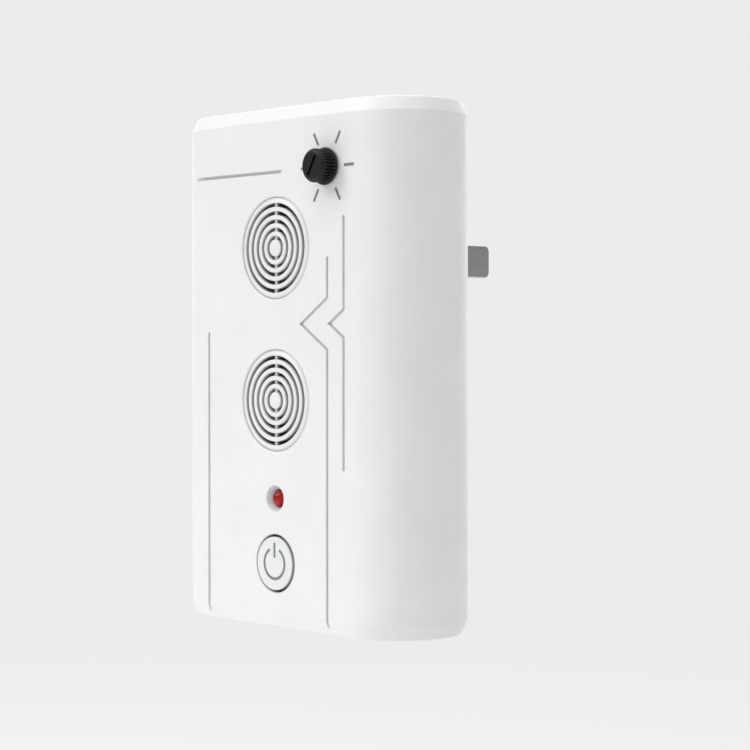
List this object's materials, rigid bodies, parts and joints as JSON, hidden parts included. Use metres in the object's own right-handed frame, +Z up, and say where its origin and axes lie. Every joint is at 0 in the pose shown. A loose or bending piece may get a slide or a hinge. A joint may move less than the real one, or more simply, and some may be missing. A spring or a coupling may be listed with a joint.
{
  "type": "ultrasonic pest repeller",
  "caption": "Plug-in ultrasonic pest repeller: pill-section white case with slotted round grilles, knurled range dial, indicator lamp, power button and flat blades.",
  "frame": {"origin": "on the wall face of the plug boss, midway between the two blades", "axes": "+Y out of the wall face into the wall, along the blades; +Z up; +X to the right seen from the front"},
  "size_m": [0.066, 0.0541, 0.097],
  "materials": {
    "shell_plastic": "fine satin-matte moulded ABS",
    "trim_plastic": "satin moulded ABS",
    "button_plastic": "satin moulded ABS",
    "dial_ink": "grey pad-printed ink",
    "symbol_ink": "blue-grey pad-printed ink",
    "knob_plastic": "satin black moulded nylon",
    "lamp_epoxy": "clear red cast epoxy",
    "screw_steel": "zinc plated",
    "blade_nickel": "nickel-plated brass",
    "tinned_metal": "tin plated",
    "can_aluminium": "satin aluminium",
    "screen_black": "black painted perforated sheet",
    "brass_disc": "rolled brass",
    "ceramic_disc": "fired piezo ceramic with silvered face",
    "black_plastic": "moulded engineering plastic",
    "gasket_foam": "closed-cell foam",
    "nylon": "natural nylon",
    "pot_green": "moulded phenolic",
    "carbon_track": "printed carbon",
    "board_laminate": "paper-phenolic board with solder mask",
    "solder": "bright solder",
    "film_case": "epoxy-dipped film capacitor",
    "capacitor_sleeve": "shrunk PVC sleeve",
    "resistor_body": "lacquered resistor",
    "ferrite": "sintered ferrite",
    "copper_winding": "enamelled copper wire",
    "wire_black": "PVC insulation",
    "wire_white": "PVC insulation"
  },
  "bodies": {
    "housing": {"front_shell": "shell_plastic", "rear_cover": "shell_plastic", "upper_grille": "trim_plastic", "lower_grille": "trim_plastic", "dial_scale": "dial_ink", "cover_screws": "screw_steel", "pot_body": "pot_green", "pot_cover": "tinned_metal", "pot_track": "carbon_track", "pot_pins": "tinned_metal", "switch_body": "black_plastic", "switch_cover": "tinned_metal", "switch_dome": "tinned_metal", "switch_pins": "tinned_metal", "lamp_lens": "lamp_epoxy", "lamp_leads": "tinned_metal", "lamp_spacer": "nylon", "upper_gasket": "gasket_foam", "upper_sounder_can": "can_aluminium", "upper_sounder_screen": "screen_black", "upper_sounder_horn": "can_aluminium", "upper_sounder_plate": "brass_disc", "upper_sounder_ceramic": "ceramic_disc", "upper_sounder_base": "black_plastic", "upper_sounder_pins": "tinned_metal", "lower_gasket": "gasket_foam", "lower_sounder_can": "can_aluminium", "lower_sounder_screen": "screen_black", "lower_sounder_horn": "can_aluminium", "lower_sounder_plate": "brass_disc", "lower_sounder_ceramic": "ceramic_disc", "lower_sounder_base": "black_plastic", "lower_sounder_pins": "tinned_metal", "circuit_board": "board_laminate", "board_screws": "screw_steel", "solder_joints": "solder", "film_capacitor": "film_case", "filter_capacitor": "capacitor_sleeve", "bridge_rectifier": "black_plastic", "fuse_resistor": "resistor_body", "resistors": "resistor_body", "controller_chip": "black_plastic", "driver_transistors": "black_plastic", "inductor_core": "ferrite", "inductor_winding": "copper_winding", "left_blade": "blade_nickel", "right_blade": "blade_nickel", "left_wire": "wire_black", "right_wire": "wire_white", "blade_retainer": "black_plastic", "retainer_screws": "screw_steel"},
    "dial": {"adjustment_knob": "knob_plastic", "pot_shaft": "nylon", "pot_wiper": "brass_disc"},
    "button": {"power_button": "button_plastic", "power_symbol": "symbol_ink", "switch_plunger": "black_plastic"}
  },
  "joints": [
    {"name": "dial_turn", "type": "hinge", "parent": "housing", "child": "dial", "pos_m": [0.0146, -0.035, 0.0156], "axis": [0, 1, 0], "range_deg": [0, 300]},
    {"name": "button_press", "type": "slide", "parent": "housing", "child": "button", "axis": [0, 1, 0], "range_m": [0, 0.0005], "stiffness_N_per_m": 1500, "springref_m": -0.0005}
  ]
}
